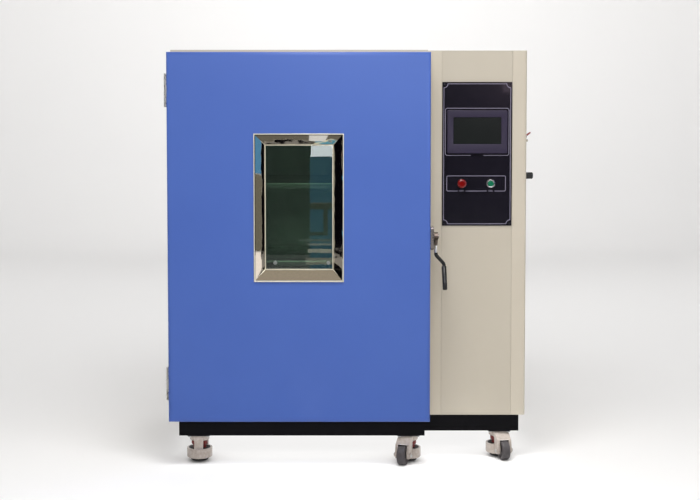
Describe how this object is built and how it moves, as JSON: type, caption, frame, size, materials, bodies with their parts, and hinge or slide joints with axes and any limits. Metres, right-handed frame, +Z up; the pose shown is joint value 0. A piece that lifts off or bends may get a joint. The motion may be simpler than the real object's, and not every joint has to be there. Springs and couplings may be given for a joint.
{
  "type": "vacuum oven",
  "caption": "Floor-standing laboratory vacuum oven with a windowed side-hinged door, an adjoining control cabinet with touch screen and buttons, and levelling casters.",
  "frame": {"origin": "on the floor, at the centre of the overall box", "axes": "+Z up, -Y towards the front (door side), +X to the right as seen from the front"},
  "size_m": [1.2097, 0.906, 1.348],
  "materials": {
    "blue_powder_coat": "satin textured powder coat",
    "beige_powder_coat": "satin textured powder coat",
    "black_paint": "satin paint",
    "polished_stainless": "mirror polished",
    "brushed_stainless": "brushed",
    "zinc_plated_steel": "zinc plated",
    "black_steel_plate": "satin black",
    "hinge_chrome": "polished",
    "mineral_wool": "matt fibrous",
    "heater_silicone": "matt",
    "seal_silicone": "matt",
    "clear_glass": "clear",
    "display_glass": "gloss black",
    "black_panel_plastic": "semi-gloss",
    "screen_housing": "satin",
    "collar_metal": "satin chrome",
    "module_plastic": "satin",
    "black_plastic": "satin",
    "valve_brass": "nickel and brass",
    "lever_steel": "bright with red sleeve",
    "red_plastic": "gloss",
    "green_plastic": "gloss",
    "caster_body": "painted die casting",
    "caster_tread": "satin",
    "thumbwheel_red": "satin",
    "foot_rubber": "matt"
  },
  "bodies": {
    "oven": {"base_frame": "black_paint", "chamber_casing": "beige_powder_coat", "inner_chamber": "brushed_stainless", "chamber_insulation": "mineral_wool", "heater_pads": "heater_silicone", "door_gasket": "seal_silicone", "shelf_rails": "brushed_stainless", "temperature_probe": "brushed_stainless", "control_casing": "beige_powder_coat", "control_front_panel": "beige_powder_coat", "faceplate": "black_panel_plastic", "touch_screen": "screen_housing", "display_glass": "display_glass", "button_collars": "collar_metal", "electrical_tray": "zinc_plated_steel", "electrical_modules": "module_plastic", "rear_covers": "beige_powder_coat", "vacuum_pipe": "brushed_stainless", "mains_gland": "black_plastic", "valve_bodies": "valve_brass", "hinge_fixed_leaves": "hinge_chrome", "hinge_pins": "hinge_chrome", "latch_keeper": "hinge_chrome", "caster_plates": "black_steel_plate"},
    "door": {"door_skin": "blue_powder_coat", "door_liner": "brushed_stainless", "door_insulation": "mineral_wool", "window_bezel": "polished_stainless", "outer_glass": "clear_glass", "sight_glass": "clear_glass", "hinge_door_leaves": "hinge_chrome", "latch_base": "hinge_chrome"},
    "latch": {"latch_lever": "hinge_chrome", "latch_grip": "black_plastic"},
    "upper_shelf": {"upper_shelf": "brushed_stainless"},
    "lower_shelf": {"lower_shelf": "brushed_stainless"},
    "stop_button": {"stop_button": "red_plastic"},
    "start_button": {"start_button": "green_plastic"},
    "vent_knob": {"vent_knob": "black_plastic"},
    "isolation_lever": {"isolation_lever": "lever_steel"},
    "front_left_caster_swivel": {"front_left_caster_fork": "caster_body"},
    "front_left_caster_roller": {"front_left_caster_wheel": "caster_tread"},
    "front_left_caster_adjuster": {"front_left_caster_thumbwheel": "thumbwheel_red"},
    "front_left_caster_pad": {"front_left_caster_foot": "foot_rubber"},
    "front_middle_caster_swivel": {"front_middle_caster_fork": "caster_body"},
    "front_middle_caster_roller": {"front_middle_caster_wheel": "caster_tread"},
    "front_middle_caster_adjuster": {"front_middle_caster_thumbwheel": "thumbwheel_red"},
    "front_middle_caster_pad": {"front_middle_caster_foot": "foot_rubber"},
    "front_right_caster_swivel": {"front_right_caster_fork": "caster_body"},
    "front_right_caster_roller": {"front_right_caster_wheel": "caster_tread"},
    "front_right_caster_adjuster": {"front_right_caster_thumbwheel": "thumbwheel_red"},
    "front_right_caster_pad": {"front_right_caster_foot": "foot_rubber"},
    "rear_left_caster_swivel": {"rear_left_caster_fork": "caster_body"},
    "rear_left_caster_roller": {"rear_left_caster_wheel": "caster_tread"},
    "rear_left_caster_adjuster": {"rear_left_caster_thumbwheel": "thumbwheel_red"},
    "rear_left_caster_pad": {"rear_left_caster_foot": "foot_rubber"},
    "rear_right_caster_swivel": {"rear_right_caster_fork": "caster_body"},
    "rear_right_caster_roller": {"rear_right_caster_wheel": "caster_tread"},
    "rear_right_caster_adjuster": {"rear_right_caster_thumbwheel": "thumbwheel_red"},
    "rear_right_caster_pad": {"rear_right_caster_foot": "foot_rubber"}
  },
  "joints": [
    {"name": "door_swing", "type": "hinge", "parent": "oven", "child": "door", "pos_m": [-0.59855, -0.397, 0.748], "axis": [0, 0, -1], "range_deg": [0, 120]},
    {"name": "latch_turn", "type": "hinge", "parent": "door", "child": "latch", "pos_m": [0.26965, -0.421, 0.75], "axis": [-1, 0, 0], "range_deg": [0, 90]},
    {"name": "upper_shelf_slide", "type": "slide", "parent": "oven", "child": "upper_shelf", "axis": [0, -1, 0], "range_m": [0, 0.09]},
    {"name": "lower_shelf_slide", "type": "slide", "parent": "oven", "child": "lower_shelf", "axis": [0, -1, 0], "range_m": [0, 0.09]},
    {"name": "stop_press", "type": "slide", "parent": "oven", "child": "stop_button", "axis": [0, 1, 0], "range_m": [0, 0.004], "stiffness_N_per_m": 400},
    {"name": "start_press", "type": "slide", "parent": "oven", "child": "start_button", "axis": [0, 1, 0], "range_m": [0, 0.0035], "stiffness_N_per_m": 400},
    {"name": "vent_turn", "type": "hinge", "parent": "oven", "child": "vent_knob", "pos_m": [0.59125, -0.229, 0.935], "axis": [1, 0, 0], "range_deg": [0, 720]},
    {"name": "isolation_turn", "type": "hinge", "parent": "oven", "child": "isolation_lever", "pos_m": [0.57955, -0.229, 1.052], "axis": [1, 0, 0], "range_deg": [0, 90]},
    {"name": "front_left_caster_turn", "type": "hinge", "parent": "oven", "child": "front_left_caster_swivel", "pos_m": [-0.50225, -0.349, 0.09], "axis": [0, 0, 1], "continuous": true},
    {"name": "front_left_caster_roll", "type": "hinge", "parent": "front_left_caster_swivel", "child": "front_left_caster_roller", "pos_m": [-0.50225, -0.293, 0.0315], "axis": [1, 0, 0], "continuous": true},
    {"name": "front_left_caster_adjust", "type": "hinge", "parent": "front_left_caster_swivel", "child": "front_left_caster_adjuster", "pos_m": [-0.50225, -0.349, 0.0585], "axis": [0, 0, 1], "range_deg": [0, 1081]},
    {"name": "front_left_caster_level", "type": "slide", "parent": "front_left_caster_swivel", "child": "front_left_caster_pad", "axis": [0, 0, -1], "range_m": [0, 0.0075]},
    {"name": "front_middle_caster_turn", "type": "hinge", "parent": "oven", "child": "front_middle_caster_swivel", "pos_m": [0.18475, -0.349, 0.09], "axis": [0, 0, 1], "continuous": true},
    {"name": "front_middle_caster_roll", "type": "hinge", "parent": "front_middle_caster_swivel", "child": "front_middle_caster_roller", "pos_m": [0.1656, -0.40162, 0.0315], "axis": [-0.9397, 0.342, 0], "continuous": true},
    {"name": "front_middle_caster_adjust", "type": "hinge", "parent": "front_middle_caster_swivel", "child": "front_middle_caster_adjuster", "pos_m": [0.18475, -0.349, 0.0585], "axis": [0, 0, 1], "range_deg": [0, 1081]},
    {"name": "front_middle_caster_level", "type": "slide", "parent": "front_middle_caster_swivel", "child": "front_middle_caster_pad", "axis": [0, 0, -1], "range_m": [0, 0.0075]},
    {"name": "front_right_caster_turn", "type": "hinge", "parent": "oven", "child": "front_right_caster_swivel", "pos_m": [0.48875, -0.284, 0.09], "axis": [0, 0, 1], "continuous": true},
    {"name": "front_right_caster_roll", "type": "hinge", "parent": "front_right_caster_swivel", "child": "front_right_caster_roller", "pos_m": [0.50182, -0.33845, 0.0315], "axis": [-0.9724, -0.2334, 0], "continuous": true},
    {"name": "front_right_caster_adjust", "type": "hinge", "parent": "front_right_caster_swivel", "child": "front_right_caster_adjuster", "pos_m": [0.48875, -0.284, 0.0585], "axis": [0, 0, 1], "range_deg": [0, 1081]},
    {"name": "front_right_caster_level", "type": "slide", "parent": "front_right_caster_swivel", "child": "front_right_caster_pad", "axis": [0, 0, -1], "range_m": [0, 0.0075]},
    {"name": "rear_left_caster_turn", "type": "hinge", "parent": "oven", "child": "rear_left_caster_swivel", "pos_m": [-0.50225, 0.361, 0.09], "axis": [0, 0, 1], "continuous": true},
    {"name": "rear_left_caster_roll", "type": "hinge", "parent": "rear_left_caster_swivel", "child": "rear_left_caster_roller", "pos_m": [-0.47596, 0.41045, 0.0315], "axis": [0.8829, -0.4695, 0], "continuous": true},
    {"name": "rear_left_caster_adjust", "type": "hinge", "parent": "rear_left_caster_swivel", "child": "rear_left_caster_adjuster", "pos_m": [-0.50225, 0.361, 0.0585], "axis": [0, 0, 1], "range_deg": [0, 1081]},
    {"name": "rear_left_caster_level", "type": "slide", "parent": "rear_left_caster_swivel", "child": "rear_left_caster_pad", "axis": [0, 0, -1], "range_m": [0, 0.0075]},
    {"name": "rear_right_caster_turn", "type": "hinge", "parent": "oven", "child": "rear_right_caster_swivel", "pos_m": [0.48875, 0.361, 0.09], "axis": [0, 0, 1], "continuous": true},
    {"name": "rear_right_caster_roll", "type": "hinge", "parent": "rear_right_caster_swivel", "child": "rear_right_caster_roller", "pos_m": [0.46777, 0.41292, 0.0315], "axis": [0.9272, 0.3746, 0], "continuous": true},
    {"name": "rear_right_caster_adjust", "type": "hinge", "parent": "rear_right_caster_swivel", "child": "rear_right_caster_adjuster", "pos_m": [0.48875, 0.361, 0.0585], "axis": [0, 0, 1], "range_deg": [0, 1081]},
    {"name": "rear_right_caster_level", "type": "slide", "parent": "rear_right_caster_swivel", "child": "rear_right_caster_pad", "axis": [0, 0, -1], "range_m": [0, 0.0075]}
  ],
  "couplings": [
    {"joint": "front_left_caster_adjust", "follows": "front_left_caster_level", "rad_per_m": 2513.3},
    {"joint": "front_middle_caster_adjust", "follows": "front_middle_caster_level", "rad_per_m": 2513.3},
    {"joint": "front_right_caster_adjust", "follows": "front_right_caster_level", "rad_per_m": 2513.3},
    {"joint": "rear_left_caster_adjust", "follows": "rear_left_caster_level", "rad_per_m": 2513.3},
    {"joint": "rear_right_caster_adjust", "follows": "rear_right_caster_level", "rad_per_m": 2513.3}
  ]
}
